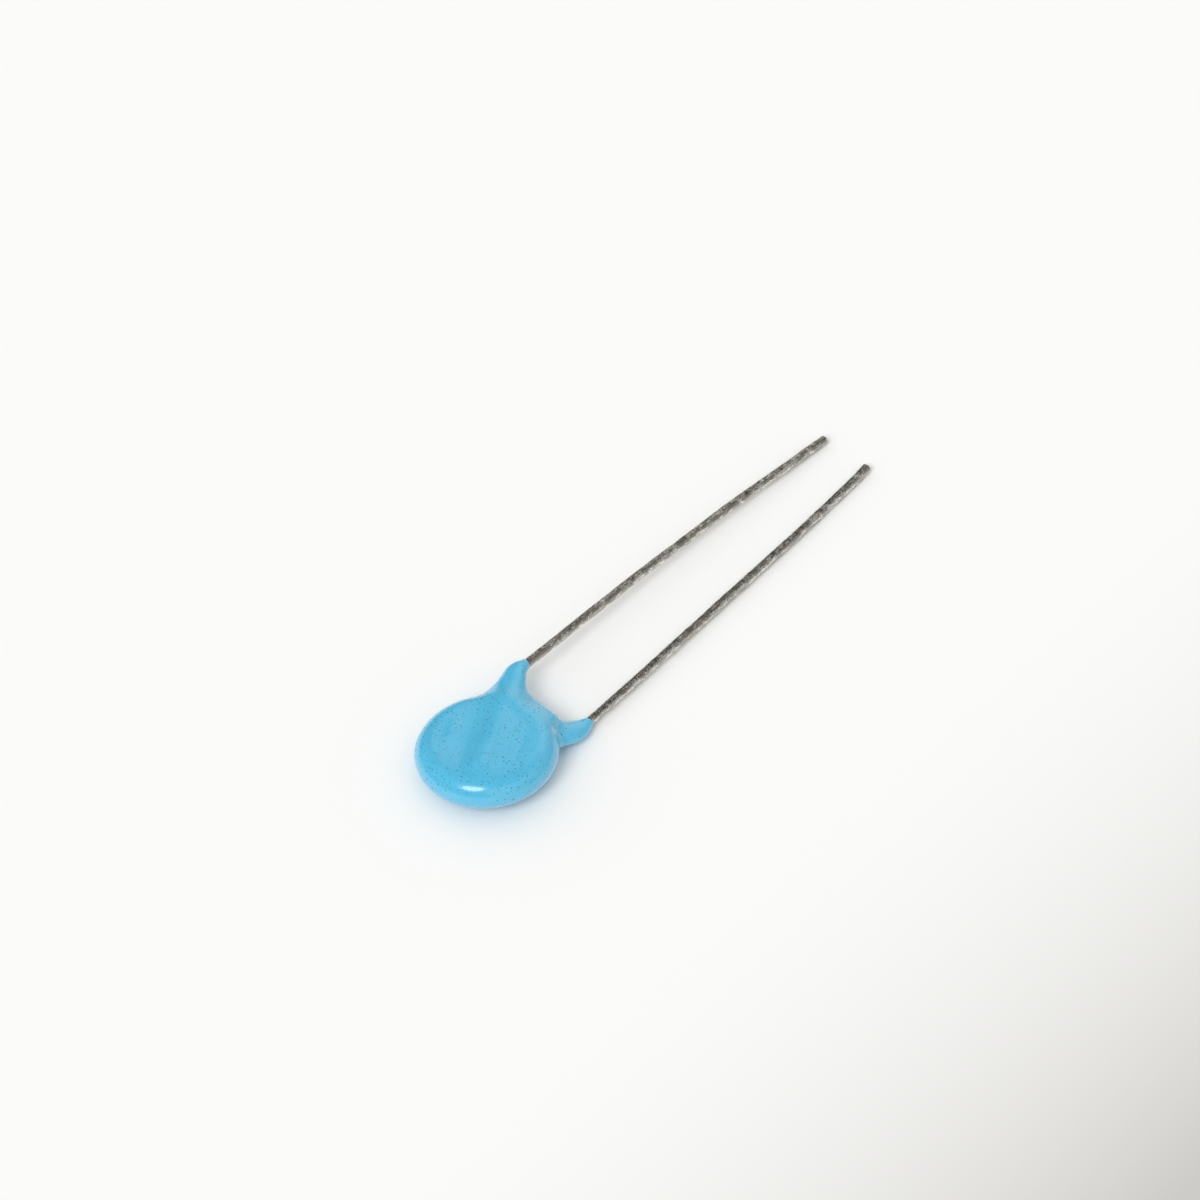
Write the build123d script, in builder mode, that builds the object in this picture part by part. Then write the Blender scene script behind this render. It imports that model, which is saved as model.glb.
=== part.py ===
from build123d import *
import os
from math import asin, cos, degrees, radians, sin

# A leaded disc varistor of the 10 mm class, lying on one face on a flat surface.
# Millimetres, +Z up. The leads run along +Y. The origin lies on the surface,
# under the middle of the whole part.

os.makedirs("parts", exist_ok=True)

# Wires
lead_diameter = 0.8
lead_pitch = 7.0
lead_reach = 45.5
end_chamfer = 0.12
lead_bend_radius = 2.5
lead_bow_radius = 150.0
buried_angle = 26.5
buried_length = 11.8

# Ceramic disc, its silver coats and the solder
ceramic_diameter = 10.0
ceramic_thickness = 1.4
ceramic_chamfer = 0.15
electrode_margin = 0.7
electrode_thickness = 0.05
solder_film = 0.05
solder_width = 2.2
solder_height = 0.6
solder_taper = 38.0
solder_lap = 0.6
solder_length = 7.5

# Epoxy coating: how thick it is over what it covers, and how far its legs run down
rim_cover = 1.0
face_cover = 0.9
face_dish = 0.14
ridge_cover = 0.35
ridge_overrun = 0.2
ridge_fade_length = 2.2
ridge_fade_depth = 0.15
leg_drop = 1.9
leg_tip_run = 0.9
web_drop = 0.5
web_corner_drop = 1.1
web_inset = 0.9
web_edge_radius = 0.9
web_face_step = 0.5

# The flank of the ridge that props the pill up reaches a little lower than its crown
flank_sag = 0.05

lead_radius = lead_diameter / 2
rim_radius = ceramic_thickness / 2 + face_cover
coated_radius = ceramic_diameter / 2 + rim_cover
face_radius = coated_radius - rim_radius
electrode_radius = ceramic_diameter / 2 - electrode_margin
electrode_top = ceramic_thickness / 2 + electrode_thickness
wire_height = electrode_top + solder_film + lead_radius
bend_x = lead_pitch / 2
bend_y = coated_radius + leg_drop
ridge_top = wire_height + lead_radius + ridge_cover
ridge_root = rim_radius / 2

# The pill lies on the ridge over its lower wire and has rolled about it until its
# rim touches the surface too
body_lift = ridge_top + flank_sag
tip_angle = degrees(asin((body_lift - rim_radius) / face_radius))
roll = tip_angle * cos(radians(buried_angle))
pitch = -tip_angle * sin(radians(buried_angle))

# The pill's own plane: its middle, tipped as it lies
body_y = -(lead_reach - coated_radius) / 2
body = Plane((0, body_y, body_lift)).rotated((pitch, -roll, 0))
body_side = Plane(body.origin, x_dir=body.x_dir, z_dir=-body.y_dir)


def on_body(x, y, z):
    """A point given in the pill's own plane."""
    return body.from_local_coords(Vector(x, y, z))


def on_floor(x, y, z):
    """A point given in plan from the pill's middle, with its height above the surface."""
    return Vector(x, body_y + y, z)


def buried_ends(side, face):
    """The ends of a wire's straight buried run: side is 1 at +X, and face is 1 on top."""
    inner_x = bend_x - buried_length * sin(radians(buried_angle))
    inner_y = bend_y - buried_length * cos(radians(buried_angle))
    inner_end = on_body(side * inner_x, inner_y, face * wire_height)
    bend = on_body(side * bend_x, bend_y, face * wire_height)
    return inner_end, bend


def height_on_slope(bend, y):
    """The height of a wire that comes down evenly from its bend to lie on the surface."""
    share = (body_y + y - bend.Y) / (body_y + lead_reach - bend.Y)
    return bend.Z + (lead_radius - bend.Z) * share


# Top wire: leaves the left leg, bows outward and comes down to the surface
top_inner, top_bend = buried_ends(-1, 1)
with BuildPart() as top_lead:
    with BuildLine() as top_path:
        FilletPolyline(
            top_inner,
            top_bend,
            on_floor(-3.55, 22.0, height_on_slope(top_bend, 22.0)),
            on_floor(-3.25, 34.0, height_on_slope(top_bend, 34.0)),
            on_floor(-2.52, lead_reach, lead_radius),
            radius=(lead_bend_radius, lead_bow_radius, lead_bow_radius),
        )
    with BuildSketch(Plane(top_path.line @ 0, z_dir=top_path.line % 0)):
        Circle(lead_radius)
    sweep(path=top_path.line)
    chamfer(top_lead.edges().group_by(Axis.Y)[-1], end_chamfer)
top_lead.part.label = "top_lead"

# Bottom wire: leaves the right leg, low down, and turns in a little near its end
bottom_inner, bottom_bend = buried_ends(1, -1)
with BuildPart() as bottom_lead:
    with BuildLine() as bottom_path:
        FilletPolyline(
            bottom_inner,
            bottom_bend,
            on_floor(3.48, 15.0, height_on_slope(bottom_bend, 15.0)),
            on_floor(2.84, 37.0, height_on_slope(bottom_bend, 37.0)),
            on_floor(2.35, lead_reach, lead_radius),
            radius=(lead_bend_radius, lead_bow_radius, lead_bow_radius),
        )
    with BuildSketch(Plane(bottom_path.line @ 0, z_dir=bottom_path.line % 0)):
        Circle(lead_radius)
    sweep(path=bottom_path.line)
    chamfer(bottom_lead.edges().group_by(Axis.Y)[-1], end_chamfer)
bottom_lead.part.label = "bottom_lead"

# Sintered zinc-oxide disc
with BuildPart() as ceramic_disc:
    with BuildSketch(body.offset(-ceramic_thickness / 2)):
        Circle(ceramic_diameter / 2)
    extrude(amount=ceramic_thickness)
    chamfer(ceramic_disc.edges().filter_by(GeomType.CIRCLE), ceramic_chamfer)
ceramic_disc.part.label = "ceramic_disc"

# Fired silver coats on the two faces
with BuildPart() as top_electrode:
    with BuildSketch(body.offset(ceramic_thickness / 2)):
        Circle(electrode_radius)
    extrude(amount=electrode_thickness)
top_electrode.part.label = "top_electrode"

with BuildPart() as bottom_electrode:
    with BuildSketch(body.offset(-electrode_top)):
        Circle(electrode_radius)
    extrude(amount=electrode_thickness)
bottom_electrode.part.label = "bottom_electrode"


def solder_plane(inner_end, bend, face):
    """The electrode's outer face, under the middle of the solder, turned along the wire."""
    along = (bend - inner_end).normalized()
    middle = inner_end + along * (solder_length / 2 - solder_lap)
    foot = middle - body.z_dir * face * (wire_height - electrode_top)
    return Plane(foot, x_dir=along, z_dir=body.z_dir * face)


# Solder mounds that hold the wires on the silver
with BuildPart() as top_solder:
    with BuildSketch(solder_plane(top_inner, top_bend, 1)):
        SlotOverall(solder_length, solder_width)
    extrude(amount=solder_height, taper=solder_taper)
    add(top_lead.part, mode=Mode.SUBTRACT)
top_solder.part.label = "top_solder"

with BuildPart() as bottom_solder:
    with BuildSketch(solder_plane(bottom_inner, bottom_bend, -1)):
        SlotOverall(solder_length, solder_width)
    extrude(amount=solder_height, taper=solder_taper)
    add(bottom_lead.part, mode=Mode.SUBTRACT)
bottom_solder.part.label = "bottom_solder"

# Sections of a leg: distance back from its tip, the cover beside the wire, the cover
# over it, and the height of the section's middle as a share of the wire's height
leg_sections = (
    (0.0, 0.14, 0.14, 1.0),
    (leg_tip_run, 0.45, 0.30, 0.95),
    (2.1, 0.85, 0.36, 0.8),
    (3.4, 1.35, 0.31, 0.55),
    (4.8, 2.0, 0.26, 0.3),
)

# Sections of the ridge over a buried wire: distance from the wire's bend, half width,
# and height above the middle plane on the wire's side. It fades into the face.
ridge_sections = (
    (3.8, 2.0, ridge_top),
    (buried_length + ridge_overrun, 1.8, ridge_top),
    (
        buried_length + ridge_overrun + ridge_fade_length,
        1.3,
        rim_radius - face_dish - ridge_fade_depth,
    ),
)


def leg_plane(bend, inner_end, tip_direction, face, back, share):
    """The plane of one section of a leg, square to the wire in it."""
    inward = (inner_end - bend).normalized()
    if back < leg_tip_run:
        middle = bend + tip_direction * (leg_tip_run - back)
        normal = tip_direction * -1
    else:
        middle = bend + inward * (back - leg_tip_run)
        normal = inward
    middle = middle - body.z_dir * face * wire_height * (1 - share)
    return Plane(middle, x_dir=normal.cross(body.z_dir), z_dir=normal)


def ridge_plane(bend, inner_end, face, back, top):
    """The plane of a section of a ridge, rooted inside the pill on its other side."""
    inward = (inner_end - bend).normalized()
    foot = body.to_local_coords(bend + inward * back)
    middle = on_body(foot.X, foot.Y, face * (top - ridge_root) / 2)
    return Plane(middle, x_dir=inward.cross(body.z_dir), z_dir=inward)


# The skin of epoxy that hangs between the two legs
web_thickness = 2 * (rim_radius - web_face_step)
web_half_width = bend_x - web_inset
web_corner_y = coated_radius + web_corner_drop
with BuildPart() as web:
    with BuildSketch(body.offset(-web_thickness / 2)):
        with BuildLine():
            ThreePointArc(
                (-web_half_width, web_corner_y),
                (0, coated_radius + web_drop),
                (web_half_width, web_corner_y),
            )
            Polyline(
                (web_half_width, web_corner_y),
                (web_half_width, face_radius),
                (-web_half_width, face_radius),
                (-web_half_width, web_corner_y),
            )
        make_face()
    extrude(amount=web_thickness)
    fillet(web.edges().filter_by(GeomType.CIRCLE), web_edge_radius)

# Dip-coated epoxy: a pill with a full round rim and faces dished a little by
# shrinkage, two ridges over the buried wires, and the legs that ran down the wires
with BuildPart() as epoxy_coating:
    with BuildSketch(body_side):
        with BuildLine():
            dish_inner = TangentArc(
                (0, rim_radius - face_dish),
                (face_radius / 2, rim_radius - face_dish / 2),
                tangent=(1, 0),
            )
            dish_outer = TangentArc(
                (face_radius / 2, rim_radius - face_dish / 2),
                (face_radius, rim_radius),
                tangent=dish_inner % 1,
            )
            mirror((dish_inner, dish_outer), about=Plane.XZ)
            ThreePointArc((face_radius, rim_radius), (coated_radius, 0), (face_radius, -rim_radius))
            Line((0, rim_radius - face_dish), (0, face_dish - rim_radius))
        make_face()
    revolve(axis=Axis(body.origin, body.z_dir))
    for bend, inner_end, path, face in (
        (top_bend, top_inner, top_path.line, 1),
        (bottom_bend, bottom_inner, bottom_path.line, -1),
    ):
        for back, side_cover, top_cover, share in leg_sections:
            half_height = lead_radius + wire_height * (1 - share) + top_cover
            with BuildSketch(leg_plane(bend, inner_end, path % 0.3, face, back, share)):
                Ellipse(lead_radius + side_cover, half_height)
        loft()
        for stretch in zip(ridge_sections, ridge_sections[1:]):
            for back, half_width, top in stretch:
                with BuildSketch(ridge_plane(bend, inner_end, face, back, top)):
                    Ellipse(half_width, (top + ridge_root) / 2)
            loft()
    add(web.part)
    for inside in (ceramic_disc, top_electrode, bottom_electrode):
        add(inside.part, mode=Mode.SUBTRACT)
    for inside in (top_solder, bottom_solder, top_lead, bottom_lead):
        add(inside.part, mode=Mode.SUBTRACT)
epoxy_coating.part.label = "epoxy_coating"

for piece in (
    epoxy_coating,
    ceramic_disc,
    top_electrode,
    bottom_electrode,
    top_solder,
    bottom_solder,
    top_lead,
    bottom_lead,
):
    export_step(piece.part, f"parts/{piece.part.label}.step")
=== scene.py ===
# %% [markdown]
# # A disc varistor, dipped in blue epoxy
#
# A varistor protects a circuit from voltage surges. It is a small disc of sintered
# zinc oxide with a silver coat on each face, a tinned wire soldered to each coat, and
# a skin of epoxy that it was dipped in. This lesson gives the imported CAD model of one
# its looks. Everything here is in the CAD model's own frame, so each piece is made
# where it belongs and nothing is moved afterwards.

# %% Load the frame
import math

import bpy
import numpy as np
from mathutils import Matrix, Vector


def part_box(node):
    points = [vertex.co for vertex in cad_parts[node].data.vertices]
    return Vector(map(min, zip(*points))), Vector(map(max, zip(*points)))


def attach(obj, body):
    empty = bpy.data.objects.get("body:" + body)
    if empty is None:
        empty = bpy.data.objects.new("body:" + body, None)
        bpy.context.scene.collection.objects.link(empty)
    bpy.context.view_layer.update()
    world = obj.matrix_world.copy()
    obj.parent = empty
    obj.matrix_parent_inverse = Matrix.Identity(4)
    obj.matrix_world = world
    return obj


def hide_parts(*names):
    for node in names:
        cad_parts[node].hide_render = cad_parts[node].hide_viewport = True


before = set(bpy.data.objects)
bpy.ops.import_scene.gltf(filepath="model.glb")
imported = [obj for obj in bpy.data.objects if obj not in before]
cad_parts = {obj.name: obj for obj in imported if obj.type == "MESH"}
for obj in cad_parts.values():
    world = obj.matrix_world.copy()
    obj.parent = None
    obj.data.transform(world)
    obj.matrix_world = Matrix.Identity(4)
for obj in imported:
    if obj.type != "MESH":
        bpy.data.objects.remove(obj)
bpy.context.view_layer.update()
MM = 0.001

# %% [markdown]
# ## Where the pill and its wires are
#
# The pill lies a little tipped, because the wire under it props it up. Its own frame
# is easier to model in than the table's: X to the right, Y towards the leads, Z out of
# the upper face, in millimetres, with the origin in the middle of the ceramic disc.
# All of that can be read off the CAD pieces. The line from one silver coat to the
# other is the disc's axis.

# %% Read the pill's frame off the CAD pieces
def middle_of(node):
    low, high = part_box(node)
    return (Vector(low) + Vector(high)) / 2 / MM


pill_middle = middle_of("ceramic_disc")
pill_z = (middle_of("top_electrode") - middle_of("bottom_electrode")).normalized()
pill_x = Vector((0, 1, 0)).cross(pill_z).normalized()
pill_y = pill_z.cross(pill_x)
pill_axes = np.array([pill_x, pill_y, pill_z])
pill_origin = np.array(pill_middle)
tip = math.degrees(pill_z.angle(Vector((0, 0, 1))))
print("pill middle:", [round(v, 3) for v in pill_middle], "tipped by", round(tip, 2), "degrees")


def into_pill(points):
    return (points - pill_origin) @ pill_axes.T


def out_of_pill(points):
    return points @ pill_axes + pill_origin


# %% [markdown]
# A wire's middle line is found as one would find it with a saw. A plane across the
# table's Y axis cuts the wire's mesh, and the middle of the cut is a point of the line.

# %% Cut the CAD wires to find their middle lines
def middle_line(node, stations):
    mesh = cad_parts[node].data
    spots = np.empty(len(mesh.vertices) * 3)
    mesh.vertices.foreach_get("co", spots)
    spots = spots.reshape(-1, 3) / MM
    ends = np.array([edge.vertices[:] for edge in mesh.edges])
    first, last = spots[ends[:, 0]], spots[ends[:, 1]]
    line = []
    for station in stations:
        cut = (first[:, 1] - station) * (last[:, 1] - station) < 0
        share = (station - first[cut, 1]) / (last[cut, 1] - first[cut, 1])
        ring = first[cut] + (last[cut] - first[cut]) * share[:, None]
        line.append((ring.min(0) + ring.max(0)) / 2)
    return np.array(line)


lead_radius = 0.4
wires = {}
for name in ("top_lead", "bottom_lead"):
    low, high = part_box(name)
    stations = np.arange(low[1] / MM + 1.0, high[1] / MM - 0.5, 0.25)
    wires[name] = middle_line(name, stations)
    print(name, "runs from", wires[name][0].round(2), "to", wires[name][-1].round(2))

# %% [markdown]
# ## The camera
#
# The camera stands well back and has a long lens, which keeps the leads the same
# thickness from end to end. It looks down at about fifty degrees, along the leads from
# their left, and is turned a little about its own axis.

# %% Camera
camera_azimuth = math.radians(44.7)
camera_elevation = math.radians(50.5)
camera_roll = math.radians(2.5)
camera_distance = 555.6
aim_right, aim_up = 9.49, 12.63

back = Vector((
    math.sin(camera_azimuth) * math.cos(camera_elevation),
    -math.cos(camera_azimuth) * math.cos(camera_elevation),
    math.sin(camera_elevation),
))
level_right = Vector((math.cos(camera_azimuth), math.sin(camera_azimuth), 0))
level_up = back.cross(level_right)
right = level_right * math.cos(camera_roll) - level_up * math.sin(camera_roll)
up = level_right * math.sin(camera_roll) + level_up * math.cos(camera_roll)
aim = pill_middle + right * aim_right + up * aim_up

camera = bpy.data.objects.new("camera", bpy.data.cameras.new("camera"))
bpy.context.scene.collection.objects.link(camera)
camera.data.lens = 200
camera.data.sensor_width = 36
camera.matrix_world = Matrix.Translation((aim + back * camera_distance) * MM) @ Matrix((
    (right.x, up.x, back.x, 0),
    (right.y, up.y, back.y, 0),
    (right.z, up.z, back.z, 0),
    (0, 0, 0, 1),
))
bpy.context.scene.camera = camera
bpy.context.scene.view_settings.view_transform = "Standard"
print("camera at", [round(v / MM) for v in camera.matrix_world.translation], "mm")

# %% [markdown]
# ## Shader maths as Python
#
# A shader is a graph of nodes, and wiring it by hand hides the idea. The class below
# wraps one output socket. Adding or multiplying two of them makes the Math node and
# its links, so a mask reads like the formula that it is. Every other kind of node is
# made by one function, which takes its type, its settings and then its socket values.

# %% A socket that can be calculated with
class Value:
    """An output socket of a node tree, for use in expressions."""

    def __init__(self, tree, socket):
        self.tree, self.socket = tree, socket

    def maths(self, operation, first, second=None, clamp=False):
        made = self.tree.nodes.new("ShaderNodeMath")
        made.operation, made.use_clamp = operation, clamp
        for socket, value in zip(made.inputs, (first, second)):
            if value is not None:
                plug(self.tree, socket, value)
        return Value(self.tree, made.outputs[0])

    def __add__(self, other):
        return self.maths("ADD", self, other)

    def __sub__(self, other):
        return self.maths("SUBTRACT", self, other)

    def __mul__(self, other):
        return self.maths("MULTIPLY", self, other)

    def __rsub__(self, other):
        return self.maths("SUBTRACT", other, self)

    __radd__, __rmul__ = __add__, __mul__

    def above(self, edge, softness):
        """0 below the edge, 1 above it, with a soft step between."""
        return self.maths("MULTIPLY", self - (edge - softness / 2), 1 / softness, clamp=True)


def plug(tree, socket, value):
    """Link a Value to a socket, or set the socket to a plain number or colour."""
    if isinstance(value, Value):
        tree.links.new(value.socket, socket)
    else:
        socket.default_value = value


def add_node(tree, kind, settings=(), **inputs):
    """One node: its type, its settings first, then the values or links of its sockets."""
    made = tree.nodes.new(kind)
    for name, value in dict(settings).items():
        setattr(made, name, value)
    for name, value in inputs.items():
        wanted = name.replace("_", " ")
        plug(tree, next(s for s in made.inputs if s.name == wanted and s.enabled), value)
    return {s.name: Value(tree, s) for s in made.outputs if s.enabled}


# %% [markdown]
# Three short helpers cover what every finish below needs: a mix of two colours by a
# mask, a fresh material, and the cloudy noise pattern.

# %% Helpers for finishes
def blend_colours(tree, mask, first, second):
    """The first colour where the mask is 0, the second where it is 1."""
    return add_node(
        tree, "ShaderNodeMix", {"data_type": "RGBA"}, Factor=mask, A=first, B=second
    )["Result"]


def new_material(name):
    """A material with an empty tree but for its output and one Principled shader."""
    material = bpy.data.materials.new(name)
    material.use_nodes = True
    shader = material.node_tree.nodes["Principled BSDF"]
    return material, material.node_tree, shader


def noise(tree, place, scale, detail=2.0, roughness=0.5):
    """A cloudy pattern from 0 to 1. The scale is in waves per metre."""
    return add_node(
        tree, "ShaderNodeTexNoise", {"noise_dimensions": "3D"},
        Vector=place, Scale=scale, Detail=detail, Roughness=roughness,
    )["Fac"]


# %% [markdown]
# ## The studio
#
# One softbox stands in front, to the left of the camera. It gives the glint on the
# front of the rim, and its size sets how blurred the shadows are. A sun lamp with a wide
# angle stands in for it, because it lights the whole table evenly. Light thrown back by
# the room comes from a second, very wide lamp that is kept out of reflections, and from
# the world.

# %% Lamps
def soft_lamp(name, toward, strength, angle):
    lamp = bpy.data.objects.new(name, bpy.data.lights.new(name, "SUN"))
    lamp.data.energy = strength
    lamp.data.angle = math.radians(angle)
    lamp.rotation_mode = "QUATERNION"
    lamp.rotation_quaternion = toward.normalized().to_track_quat("Z", "Y")
    bpy.context.scene.collection.objects.link(lamp)
    return lamp


toward_camera = Vector((back.x, back.y, 0)).normalized()
overhead = Vector((0, 0, 1))
soft_lamp("softbox", overhead * 0.76 + toward_camera * 0.57 - level_right * 0.36, 1.15, 27)
room_light = soft_lamp("room_light", overhead - level_right * 0.25, 0.90, 130)
room_light.visible_glossy = False
print("softbox turned", round(math.degrees(math.atan2(0.36, 0.57))), "degrees left of the camera")

# %% [markdown]
# The world fills in the shadows, and it is what polished things mirror. The room is dim
# overhead and to the left, and a pale wall stands behind the part, to the right. Tin
# shows both: its top is dark, and the side towards the wall and the table is bright. The
# gloss of the epoxy shows the wall too, on every part of the face that leans to the
# right. Where the camera can look past the table's edge, the world is white.

# %% World
world = bpy.data.worlds.new("studio")
bpy.context.scene.world = world
world.use_nodes = True
sky = world.node_tree
direction = add_node(sky, "ShaderNodeTexCoord")["Generated"]
parts = add_node(sky, "ShaderNodeSeparateXYZ", Vector=direction)
rightward = parts["X"] * level_right.x + parts["Y"] * level_right.y
to_wall = rightward.above(0.0, 0.3) * (1 - parts["Z"].above(0.76, 0.16))
to_wall = to_wall * (1 - rightward.above(0.55, 0.3) * 0.6)
mirrored = blend_colours(sky, to_wall, (0.05, 0.048, 0.045, 1), (1.0, 1.0, 0.98, 1))
ray = add_node(sky, "ShaderNodeLightPath")
fill = blend_colours(sky, ray["Is Glossy Ray"], (0.50, 0.475, 0.45, 1), mirrored)
seen = blend_colours(sky, ray["Is Camera Ray"], fill, (0.975, 0.985, 0.98, 1))
plug(sky, sky.nodes["Background"].inputs["Color"], seen)

# %% [markdown]
# The table is a plain sheet of white board. It is a real diffuse surface, so it keeps
# the part's shadow and throws light back up under the rim. In front and to the right it
# gets a little greyer: painted shade in the board's colour, for the light falling off there.

# %% Table
floor_reach = 6.0
floor_mesh = bpy.data.meshes.new("table")
floor_mesh.from_pydata(
    [(-floor_reach, -floor_reach, 0), (floor_reach, -floor_reach, 0),
     (floor_reach, floor_reach, 0), (-floor_reach, floor_reach, 0)],
    [], [(0, 1, 2, 3)],
)
floor = bpy.data.objects.new("table", floor_mesh)
bpy.context.scene.collection.objects.link(floor)
board, tree, shader = new_material("white_board")
spot = add_node(
    tree, "ShaderNodeSeparateXYZ", Vector=add_node(tree, "ShaderNodeTexCoord")["Object"]
)
# Painted shade: the board's colour greys in a band along X, standing in for light falling off.
painted_falloff_shade = spot["X"].above(0.046, 0.050) * spot["X"].above(0.046, 0.050)
painted_falloff_shade = painted_falloff_shade * (1 - spot["X"].above(0.15, 0.12))
sheet = blend_colours(tree, painted_falloff_shade, (0.92, 0.94, 0.945, 1), (0.58, 0.585, 0.58, 1))
plug(tree, shader.inputs["Base Color"], sheet)
plug(tree, shader.inputs["Roughness"], 0.9)
plug(tree, shader.inputs["Specular IOR Level"], 0.0)
floor_mesh.materials.append(board)
print("table reaches", floor_reach, "m each way")

# %% [markdown]
# ## The epoxy coating: its shape
#
# The real skin is a liquid that was dipped, drained and cured. It is full and round at
# the rim, sinks a little on the faces, swells over the buried wires and runs down them
# in two legs that end in a slanted lip. A sculpted cage would need a lot of fiddling to
# keep such blends smooth. A field is simpler: a formula that gives each point its
# distance from the skin, negative inside. Two shapes melt into each other where their
# distances are joined by a soft minimum, just as the liquid did. The tools for that
# come first, all of them on whole arrays of points at once.

# %% Soft joins
def soft_min(first, second, width):
    """The smaller of two distances, rounded off where they are within the width."""
    share = np.clip(0.5 + 0.5 * (second - first) / width, 0, 1)
    return second + (first - second) * share - width * share * (1 - share)


def soft_max(first, second, width):
    return -soft_min(-first, -second, width)


def ease(value, low, high):
    """0 up to the low end, 1 from the high end, and a smooth rise between them."""
    share = np.clip((value - low) / (high - low), 0, 1)
    return share * share * (3 - 2 * share)


def bulge(x, y, at, along, length, breadth):
    """A smooth hump in plan, 1 at its middle: long in one direction, narrow across it."""
    lean = math.radians(along)
    run = (x - at[0]) * math.sin(lean) + (y - at[1]) * math.cos(lean)
    side = (x - at[0]) * math.cos(lean) - (y - at[1]) * math.sin(lean)
    return np.exp(-((run / length) ** 2) - (side / breadth) ** 2)


def cone(points, start, end, start_radius, end_radius):
    """The distance from a round-ended cone between two points."""
    start, end = np.array(start), np.array(end)
    axis = end - start
    share = np.clip((points - start) @ axis / (axis @ axis), 0, 1)
    from_axis = np.linalg.norm(points - start - share[:, None] * axis, axis=1)
    return from_axis - (start_radius + (end_radius - start_radius) * share)


# %% [markdown]
# The pill itself is a disc with a full round rim. How far each face stands out changes
# from place to place: the left half sinks, the right half is fuller, and there are a
# few shallow pools and swellings left by the draining.

# %% The pill
rim_radius = 1.6
face_radius = 4.4
wire_lean = 26.5


def pill(points):
    """The distance from the pill: a disc whose thickness and outline vary a little."""
    x, y, z = points.T
    turn = np.arctan2(y, x)
    outline = face_radius + 0.07 * np.cos(2 * (turn - 0.75))
    outline = outline + 0.04 * np.cos(turn - 0.75) + 0.05 * np.cos(turn - 2.3)
    beyond = np.maximum(np.hypot(x, y) - outline, 0)
    inner = np.clip(1 - (np.hypot(x, y) / face_radius) ** 2, 0, 1)
    lean = math.radians(-wire_lean)
    beside_step = (x + 0.35) * math.cos(lean) - y * math.sin(lean)
    step_fade = ease(y, -4.2, -1.0) * ease(-y, -7.4, -4.4)
    step = 0.5 - 0.5 * np.tanh(beside_step / 0.35)
    sink_above = (
        0.10 * inner
        + 0.10 * step * step_fade
        + 0.05 * bulge(x, y, (-2.3, 0.9), -wire_lean, 3.0, 0.9)
        - 0.08 * bulge(x, y, (-2.95, -0.9), -wire_lean, 1.1, 0.5)
        - 0.20 * bulge(x, y, (1.2, 0.9), -wire_lean, 3.6, 1.5)
        + 0.05 * bulge(x, y, (2.7, 1.6), -wire_lean, 1.5, 0.35)
    )
    sink_below = 0.14 * inner
    thickness = rim_radius - np.where(z > 0, sink_above, sink_below)
    return np.hypot(beyond, z) - thickness


# %% [markdown]
# Each buried wire makes a long ridge, high on its own face. The ridges swell the skin
# only a little, because the solder beside the wire fills the valley.

# %% Ridges
ridge_radius = 0.54


def wire_in_pill(name):
    """A wire's middle line in the pill's frame, and its straight buried run."""
    line = into_pill(wires[name])
    run = (line[24] - line[4]) / np.linalg.norm(line[24] - line[4])
    return {"line": line, "inner": line[0] - run * 0.6, "buried_end": line[25]}


top_wire = wire_in_pill("top_lead")
bottom_wire = wire_in_pill("bottom_lead")
print("buried ends, in the pill's frame:", top_wire["inner"].round(2), bottom_wire["inner"].round(2))


def ridge(points, wire):
    """The hump over a buried wire, from its inner end to the leg."""
    return cone(points, wire["inner"], wire["buried_end"], ridge_radius * 0.6, ridge_radius)


# %% [markdown]
# A leg follows its wire out of the rim and round the bend. At each distance from the
# pill's middle it has a half width towards the outside, another towards the web, and a
# half height. Smooth curves join the stations, and a slanted plane cuts the tip, since
# the epoxy crept further along the wire's outer side than along its inner side.

# %% Legs
def smooth_curve(x, stations, values):
    """A curve through the values that is level or evenly sloped at each station."""
    stations, values = np.array(stations), np.array(values)
    slopes = np.gradient(values, stations)
    k = np.clip(np.searchsorted(stations, x) - 1, 0, len(stations) - 2)
    gap = stations[k + 1] - stations[k]
    t = np.clip((x - stations[k]) / gap, 0, 1)
    return (
        values[k] * (1 + 2 * t) * (1 - t) ** 2 + values[k + 1] * t**2 * (3 - 2 * t)
        + gap * (slopes[k] * t * (1 - t) ** 2 + slopes[k + 1] * t**2 * (t - 1))
    )


def leg(points, wire, side, shape):
    """The run-down leg of a wire. The side is -1 for the left leg and 1 for the right."""
    x, y, z = points.T
    line = wire["line"]
    middle = np.interp(y, line[:, 1], line[:, 0])
    lean = np.interp(y, line[:-1, 1], np.diff(line[:, 0]) / np.diff(line[:, 1]))
    across = side * (x - middle) / np.hypot(1, lean)
    height = np.interp(y, line[:, 1], line[:, 2])
    stations = shape["from_middle"]
    outer = smooth_curve(y, stations, shape["outer"])
    inner = smooth_curve(y, stations, shape["inner"])
    tall = smooth_curve(y, stations, shape["tall"])
    above = z - height * smooth_curve(y, stations, shape["centre"])
    shift = (outer - inner) / 2
    wide = (outer + inner) / 2
    reach = np.hypot((across - shift) / wide, above / tall)
    skin = (reach - 1) * np.minimum(wide, tall)
    tip = (y - shape["tip"] - shape["slant"] * across) / math.hypot(1, shape["slant"])
    return np.maximum(soft_max(skin, tip, 0.16), stations[0] - y)


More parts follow.
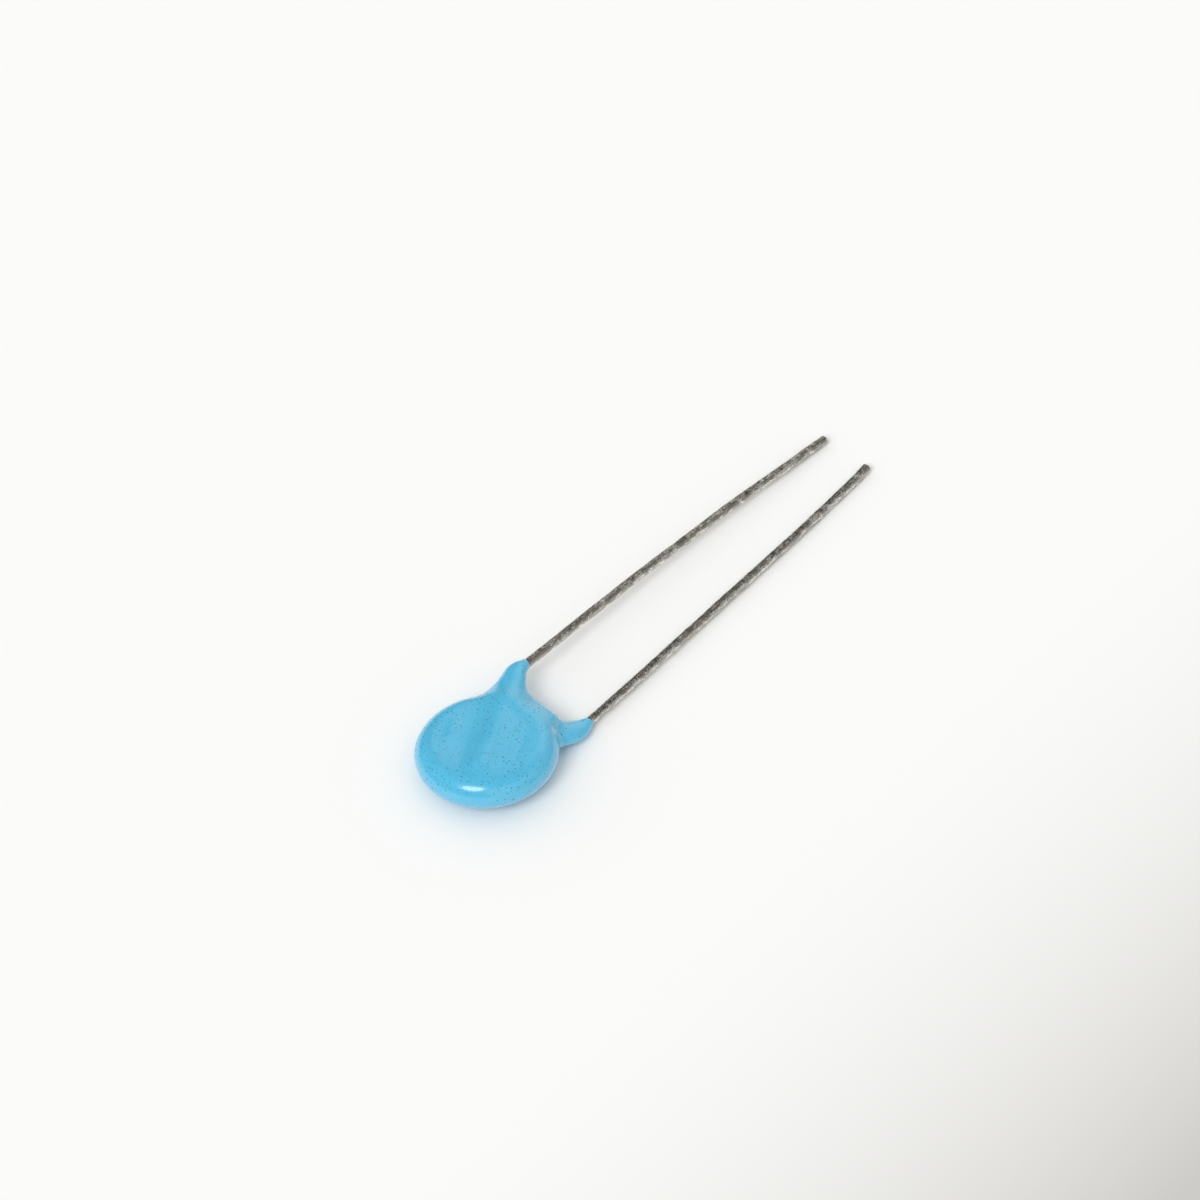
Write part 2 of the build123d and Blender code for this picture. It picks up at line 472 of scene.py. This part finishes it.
top_leg_shape = {
    "from_middle": (2.4, 4.4, 5.6, 6.6, 7.4, 8.1, 8.6, 9.0),
    "outer": (2.0, 2.15, 1.62, 1.30, 1.12, 0.84, 0.56, 0.42),
    "inner": (2.0, 2.00, 1.42, 1.08, 0.90, 0.64, 0.46, 0.42),
    "tall": (0.5, 1.10, 1.00, 0.80, 0.66, 0.56, 0.48, 0.43),
    "centre": (0.0, 0.40, 0.65, 0.85, 0.95, 1.00, 1.00, 1.00),
    "tip": 8.85,
    "slant": 0.3,
}
bottom_leg_shape = {
    "from_middle": (2.4, 4.4, 5.6, 6.6, 7.4, 8.1, 8.6, 9.0),
    "outer": (1.8, 1.80, 1.60, 1.40, 1.10, 0.78, 0.52, 0.42),
    "inner": (2.0, 2.20, 1.90, 1.48, 1.10, 0.76, 0.52, 0.42),
    "tall": (0.5, 1.10, 1.05, 0.88, 0.70, 0.56, 0.48, 0.43),
    "centre": (0.0, 0.40, 0.62, 0.82, 0.95, 1.00, 1.00, 1.00),
    "tip": 8.8,
    "slant": 0.4,
}


# %% [markdown]
# Between the legs the skin hangs like a web with a rounded edge, and it is thinner than
# the pill. The soft joins to the pill and the legs give it its curved outline. Then all
# the parts are joined, each with a width that says how far it melts into the rest.

# %% Web and the whole coating
def web(points):
    """The distance from the web between the legs."""
    x, y, z = points.T
    edge = 6.75 - 0.08 * x
    past = np.hypot(np.maximum(y - edge + 0.9, 0), z - 0.1) - 0.9
    return soft_max(np.maximum(past, 3.0 - y), np.abs(x) - 2.6, 0.8)


def coating(points):
    """The whole skin: the distance from it, in millimetres, at each point."""
    skin = pill(points)
    skin = soft_min(skin, web(points), 0.7)
    skin = soft_min(skin, ridge(points, top_wire), 1.5)
    skin = soft_min(skin, ridge(points, bottom_wire), 1.5)
    skin = soft_min(skin, leg(points, top_wire, -1, top_leg_shape), 0.8)
    return soft_min(skin, leg(points, bottom_wire, 1, bottom_leg_shape), 0.6)


# %% [markdown]
# A field can't be rendered, so it is turned into a mesh. The method is called surface
# nets. Space is cut into small cells. Each cell that the skin passes through gets one
# vertex, at the average of the places where the skin cuts the cell's edges, and each
# cut edge becomes a four-sided face between the four cells around it. The vertices are
# then slid down the field's slope until they lie exactly on the skin.

# %% Surface nets
def surface_nets(field, low, high, step):
    """The vertices and four-sided faces of the surface where the field is 0."""
    sides = [np.arange(a, b, step) for a, b in zip(low, high)]
    grid = np.stack(np.meshgrid(*sides, indexing="ij"), axis=-1)
    value = field(grid.reshape(-1, 3)).reshape(grid.shape[:3])
    cells = tuple(n - 1 for n in value.shape)
    total, count = np.zeros((*cells, 3)), np.zeros(cells)

    def corner(offset):
        return value[tuple(slice(o, o + n) for o, n in zip(offset, cells))]

    for axis in range(3):
        for p in (0, 1):
            for q in (0, 1):
                start = np.insert([p, q], axis, 0)
                end = np.insert([p, q], axis, 1)
                first, last = corner(start), corner(end)
                cut = (first < 0) != (last < 0)
                place = np.repeat(start[None].astype(float), cut.sum(), axis=0)
                place[:, axis] = first[cut] / (first[cut] - last[cut])
                total[cut] += place
                count[cut] += 1
    used = count > 0
    number = np.full(cells, -1)
    number[used] = np.arange(used.sum())
    vertices = np.array(low) + step * (np.argwhere(used) + total[used] / count[used][:, None])

    faces = []
    for axis in range(3):
        one, two = [a for a in range(3) if a != axis]
        inside = value < 0
        ahead = np.roll(inside, -1, axis)
        for cut, flip in ((inside & ~ahead, False), (ahead & ~inside, True)):
            spots = np.argwhere(cut)
            spots = spots[(spots[:, one] > 0) & (spots[:, two] > 0)]
            around = []
            for a, b in ((1, 1), (0, 1), (0, 0), (1, 0)):
                shifted = spots.copy()
                shifted[:, one] -= a
                shifted[:, two] -= b
                around.append(number[tuple(shifted.T)])
            quad = np.stack(around, axis=1)
            faces.append(quad[:, ::-1] if flip != (axis == 1) else quad)
    return vertices, np.concatenate(faces)


def settle(field, vertices, rounds=4, nudge=0.002):
    """Slide each vertex along the field's slope onto the surface."""
    for _ in range(rounds):
        here = field(vertices)
        slope = np.stack(
            [(field(vertices + nudge * axis) - here) / nudge for axis in np.eye(3)], axis=1
        )
        vertices = vertices - slope * (here / (slope**2).sum(1))[:, None]
    return vertices


skin_step = 0.1
skin_vertices, skin_faces = surface_nets(coating, (-6.8, -6.8, -2.4), (6.8, 10.2, 2.7), skin_step)
skin_vertices = settle(coating, skin_vertices)
print("coating mesh:", len(skin_vertices), "vertices,", len(skin_faces), "faces")


# %% [markdown]
# Each new piece stands for one CAD piece. It rides on the root body, and that CAD piece
# is hidden.

# %% Make the coating's object
def new_piece(name, vertices, faces, node):
    """A mesh object from millimetres in the table's frame, on the root body, with its CAD node
    hidden.
    """
    mesh = bpy.data.meshes.new(name)
    mesh.from_pydata((vertices * MM).tolist(), [], faces)
    mesh.validate()
    mesh.shade_smooth()
    piece = bpy.data.objects.new(name, mesh)
    bpy.context.scene.collection.objects.link(piece)
    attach(piece, "root")
    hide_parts(node)
    print(name, "has", len(mesh.vertices), "vertices and", len(mesh.polygons), "faces")
    return piece


skin_vertices = out_of_pill(skin_vertices)
coating_piece = new_piece(
    "dipped_coating", skin_vertices, skin_faces.tolist(), "epoxy_coating"
)
print("coating's lowest point in mm:", skin_vertices[:, 2].min().round(3))

# %% [markdown]
# ## The epoxy's finish
#
# Glossy sky-blue epoxy. The colour is nearly even, but the skin is full of tiny dark
# pits where air escaped while it cured, more crowded in some patches than in others.
# Each pit is a dark speck of colour and a small dent, both from the same mask, so they
# stay together. A Voronoi pattern scatters them: each cell has a random colour, and only
# the cells whose colour passes a threshold get a pit. A clear coat over it all gives the
# sharp glint, and the rougher layer below gives the broad sheen.

# %% Epoxy material
epoxy, tree, shader = new_material("blue_epoxy")
place = add_node(tree, "ShaderNodeTexCoord")["Object"]


def pits(size, share, radius, softness):
    """Round dots of a given radius in a scatter of cells of a given size, both in mm."""
    cell = add_node(
        tree, "ShaderNodeTexVoronoi", {"feature": "F1"}, Vector=place, Scale=1 / (size * MM)
    )
    chosen = add_node(tree, "ShaderNodeSeparateColor", Color=cell["Color"])
    picked = chosen["Red"].above(1 - share, 0.001)
    width = chosen["Green"] * 0.6 + 0.55
    closeness = (width * (radius / size)) - cell["Distance"]
    return closeness.above(softness / 2, softness) * picked


coarse_pits = pits(0.27, 0.95, 0.064, 0.07)
fine_pits = pits(0.15, 0.90, 0.042, 0.14)
cloud = noise(tree, place, 450.0, 3.0)
crowding = noise(tree, place, 260.0, 1.0).above(0.5, 0.35)
pit_mask = coarse_pits * (crowding * 0.5 + 0.5)
mist = fine_pits * (crowding * 0.45 + 0.45)

deep_blue, sky_blue, pit_blue = (
    (0.080, 0.500, 0.770, 1), (0.100, 0.525, 0.800, 1), (0.010, 0.08, 0.15, 1)
)
colour = blend_colours(tree, cloud.above(0.5, 0.5), deep_blue, sky_blue)
colour = blend_colours(tree, mist, colour, (0.05, 0.30, 0.50, 1))
colour = blend_colours(tree, pit_mask, colour, pit_blue)
plug(tree, shader.inputs["Base Color"], colour)
plug(tree, shader.inputs["Roughness"], pit_mask * 0.3 + 0.22)
plug(tree, shader.inputs["IOR"], 1.5)
plug(tree, shader.inputs["Coat Weight"], 0.8)
plug(tree, shader.inputs["Coat Roughness"], 0.14)
peel = noise(tree, place, 1500.0, 2.0) * 0.004 + cloud * 0.012
dent = add_node(
    tree, "ShaderNodeBump", Height=peel - pit_mask * 0.03 - mist * 0.008, Distance=MM, Strength=0.6
)
plug(tree, shader.inputs["Normal"], dent["Normal"])
coating_piece.data.materials.append(epoxy)

# %% [markdown]
# ## The leads
#
# Each lead is soft copper wire dipped in molten tin, so its surface is never a perfect
# cylinder: the tin gathers in long shallow runs, the forming tools leave nicks, and the
# cutter rounds the end and raises a burr. A tube is built ring by ring along the CAD
# wire's middle line, and each point is moved in or out by a map of smoothed random
# numbers that joins up round the wire. The random numbers have a fixed seed, so the
# leads come out the same each time.

# %% Random relief
round_points = 40
ring_gap = 0.07


def smoothed(rng, rings, along, around):
    """Random numbers on the tube, blurred along it and round it, between about -1 and 1."""
    field = rng.standard_normal((rings, round_points))
    for axis, width in ((0, along), (1, around)):
        reach = np.arange(-3 * width, 3 * width + 1)
        weights = np.exp(-0.5 * (reach / width) ** 2)
        field = sum(w * np.roll(field, int(r), axis) for r, w in zip(reach, weights))
    return field / np.abs(field).std() / 2


# %% [markdown]
# The middle line is sampled anew, one point for each ring. It is carried on straight
# over the last half millimetre, and outside the coating it wavers by a few hundredths,
# as hand-straightened wire does.

# %% The middle line of a tube
def lead_middle(name, seed):
    """One point for each ring of the tube, and how far each is from the lead's tip."""
    line = wires[name]
    tip_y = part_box(name)[1][1] / MM
    ys = np.arange(line[0, 1], tip_y - 0.02, ring_gap)
    slope = (line[-1] - line[-6]) / (line[-1, 1] - line[-6, 1])
    middle = np.stack([np.interp(ys, line[:, 1], line[:, k]) for k in range(3)], axis=1)
    past = ys > line[-1, 1]
    middle[past] = line[-1] + (ys[past] - line[-1, 1])[:, None] * slope
    bare = np.clip((ys - line[55, 1]) / 3, 0, 1)
    middle[:, 0] += 0.02 * bare * np.sin(ys / 2.3 + seed) * np.sin(ys / 5.1)
    return middle, tip_y - ys


# %% [markdown]
# The radius is a map too: the wire's own radius, the relief, the burr that swells the
# last millimetre, the rounded end, and nine nicks in places that the seed picks.

# %% The radius all over a tube
def lead_radii(rng, left, burr):
    """The radius at each ring and each turn, for rings that are this far from the tip."""
    rings = len(left)
    turn = np.linspace(0, 2 * np.pi, round_points, endpoint=False)
    relief = 0.010 * smoothed(rng, rings, 9, 2) + 0.006 * smoothed(rng, rings, 2, 1)
    rounding = np.sqrt(np.clip(1 - (1 - np.clip(left / 0.16, 0, 1)) ** 2, 0.15, 1))
    swell = burr * np.clip((1.3 - left) / 0.35, 0, 1)
    radius = lead_radius + relief + swell[:, None] * (0.6 + 0.4 * np.cos(turn - 2.4))
    radius = radius * rounding[:, None]
    half = round_points / 2
    for _ in range(9):
        ring, spot = rng.integers(180, rings - 12), rng.integers(0, round_points)
        across = np.abs((np.arange(round_points) - spot + half) % round_points - half)
        lengthwise = (np.arange(rings) - ring) / 2.2
        radius -= 0.035 * np.exp(-lengthwise[:, None] ** 2 - (across / 2.5) ** 2)
    return turn, radius


# %% [markdown]
# With a line and a radius, the tube's points follow. Two directions square to the wire
# span each ring. Four-sided faces join the rings, and a fan of triangles closes each end.

# %% Make the leads
def lead_piece(name, node, seed, burr):
    middle, left = lead_middle(node, seed)
    turn, radius = lead_radii(np.random.default_rng(seed), left, burr)
    along = np.gradient(middle, axis=0)
    along /= np.linalg.norm(along, axis=1)[:, None]
    side = np.cross(along, (0, 0, 1))
    side /= np.linalg.norm(side, axis=1)[:, None]
    over = np.cross(side, along)
    points = (
        middle[:, None]
        + side[:, None] * (radius * np.cos(turn))[:, :, None]
        + over[:, None] * (radius * np.sin(turn))[:, :, None]
    ).reshape(-1, 3)
    rings = len(middle)
    first = np.arange((rings - 1) * round_points)
    beside = first - first % round_points + (first + 1) % round_points
    faces = np.stack([first, beside, beside + round_points, first + round_points], axis=1).tolist()
    start, end = middle[0] - along[0] * 0.02, middle[-1] + along[-1] * 0.02
    points = np.concatenate([points, [start, end]])
    last_ring = (rings - 1) * round_points
    for k in range(round_points):
        beyond = (k + 1) % round_points
        faces.append((beyond, k, len(points) - 2))
    for k in range(round_points):
        beyond = (k + 1) % round_points
        faces.append((last_ring + k, last_ring + beyond, len(points) - 1))
    return new_piece(name, points, faces, node)


top_wire_piece = lead_piece("tinned_top_lead", "top_lead", 3, 0.0)
bottom_wire_piece = lead_piece("tinned_bottom_lead", "bottom_lead", 8, 0.05)

# %% [markdown]
# ## The tin's finish
#
# Old hot-dipped tin is a dull mirror. It is mottled: smoother spots shine, and the
# oxidised skin between them is dark and rough. The mottling is stretched along the
# wire, the way that the tin ran.

# %% Tin material
tin, tree, shader = new_material("dipped_tin")
place = add_node(tree, "ShaderNodeTexCoord")["Object"]
stretched = add_node(
    tree, "ShaderNodeMapping", {"vector_type": "POINT"}, Vector=place, Scale=(1.0, 0.4, 1.0)
)["Vector"]
blotch = noise(tree, stretched, 2600.0, 5.0, 0.7)
grain = noise(tree, place, 8000.0, 3.0, 0.6)
bright_spots = blotch.above(0.52, 0.08) * grain.above(0.44, 0.15)
oxide, clean = (0.40, 0.38, 0.34, 1), (0.88, 0.86, 0.80, 1)
plug(tree, shader.inputs["Base Color"], blend_colours(tree, bright_spots, oxide, clean))
plug(tree, shader.inputs["Metallic"], 1.0)
plug(tree, shader.inputs["Roughness"], bright_spots * 0.1 + 0.19)
rough_skin = add_node(
    tree, "ShaderNodeBump", Height=blotch * 0.05 + grain * 0.03, Distance=MM, Strength=0.9
)
plug(tree, shader.inputs["Normal"], rough_skin["Normal"])
for piece in (top_wire_piece, bottom_wire_piece):
    piece.data.materials.append(tin)

# %% [markdown]
# ## The pieces inside
#
# The ceramic, its silver coats and the solder are sealed in and can't be seen, but the
# CAD pieces are there, so each gets the finish that it would have on the bench.

# %% Materials of the sealed pieces
def hidden_finish(name, dark, light, scale, roughness, metallic):
    material, tree, shader = new_material(name)
    place = add_node(tree, "ShaderNodeTexCoord")["Object"]
    speckle = noise(tree, place, scale, 4.0, 0.6)
    colour = blend_colours(tree, speckle.above(0.5, 0.3), dark, light)
    plug(tree, shader.inputs["Base Color"], colour)
    plug(tree, shader.inputs["Roughness"], speckle * 0.2 + roughness)
    plug(tree, shader.inputs["Metallic"], metallic)
    return material


ceramic = hidden_finish("zinc_oxide", (0.05, 0.05, 0.05, 1), (0.09, 0.09, 0.085, 1), 6000, 0.7, 0.0)
silver = hidden_finish("fired_silver", (0.60, 0.59, 0.56, 1), (0.75, 0.74, 0.70, 1), 4000, 0.45, 1.0)
solder = hidden_finish("tin_solder", (0.50, 0.50, 0.50, 1), (0.65, 0.65, 0.64, 1), 2500, 0.3, 1.0)
for node, material in (
    ("ceramic_disc", ceramic), ("top_electrode", silver), ("bottom_electrode", silver),
    ("top_solder", solder), ("bottom_solder", solder),
):
    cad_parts[node].data.materials.clear()
    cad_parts[node].data.materials.append(material)
